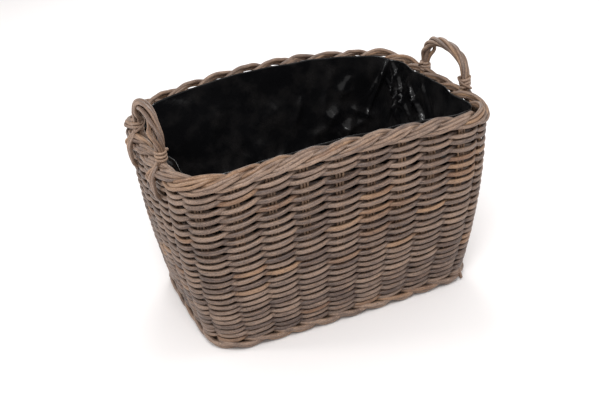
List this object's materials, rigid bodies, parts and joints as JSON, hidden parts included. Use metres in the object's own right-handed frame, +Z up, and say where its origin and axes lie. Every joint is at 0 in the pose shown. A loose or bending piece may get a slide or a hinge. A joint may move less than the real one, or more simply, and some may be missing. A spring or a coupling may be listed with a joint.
{
  "type": "log basket",
  "caption": "Rectangular open basket of twined grey-brown rattan with a plaited rim, two hoop handles at its ends and a black film liner.",
  "frame": {"origin": "on the floor under the middle of the basket, at the bottom centre of its box", "axes": "+X along the basket's length towards one handle, +Y across it, +Z up out of the open top"},
  "size_m": [0.6158, 0.436, 0.4283],
  "materials": {
    "weave_cane": "weathered grey-brown rattan, dull",
    "wale_cane": "slightly lighter grey-brown rattan, dull",
    "stake_cane": "thin dark grey-brown rattan, dull",
    "border_cane": "grey-brown rattan with some tan canes, faint sheen",
    "base_cane": "grey-brown rattan, dull",
    "handle_cane": "pale grey-brown rattan, faint sheen from handling",
    "liner_film": "thin black film, glossy and wrinkled"
  },
  "bodies": {
    "root": {"weave_row_01": "weave_cane", "weave_row_02": "weave_cane", "weave_row_03": "weave_cane", "weave_row_04": "weave_cane", "weave_row_05": "weave_cane", "weave_row_06": "weave_cane", "weave_row_07": "weave_cane", "weave_row_08": "weave_cane", "weave_row_09": "weave_cane", "weave_row_10": "weave_cane", "weave_row_11": "weave_cane", "weave_row_12": "weave_cane", "weave_row_13": "weave_cane", "weave_row_14": "weave_cane", "weave_row_15": "weave_cane", "weave_row_16": "weave_cane", "weave_row_17": "weave_cane", "weave_row_18": "weave_cane", "weave_row_19": "weave_cane", "weave_row_20": "weave_cane", "weave_row_21": "weave_cane", "weave_row_22": "weave_cane", "weave_row_23": "weave_cane", "rim_wale": "wale_cane", "front_stakes": "stake_cane", "back_stakes": "stake_cane", "left_end_stakes": "stake_cane", "right_end_stakes": "stake_cane", "front_right_corner_stakes": "stake_cane", "front_left_corner_stakes": "stake_cane", "back_right_corner_stakes": "stake_cane", "back_left_corner_stakes": "stake_cane", "rim_border_canes": "border_cane", "foot_border_canes": "border_cane", "base_sticks": "base_cane", "base_upper_canes": "base_cane", "base_lower_canes": "base_cane", "left_handle_canes": "handle_cane", "right_handle_canes": "handle_cane", "left_handle_front_binding": "handle_cane", "left_handle_back_binding": "handle_cane", "right_handle_front_binding": "handle_cane", "right_handle_back_binding": "handle_cane", "plastic_liner": "liner_film"}
  },
  "joints": []
}
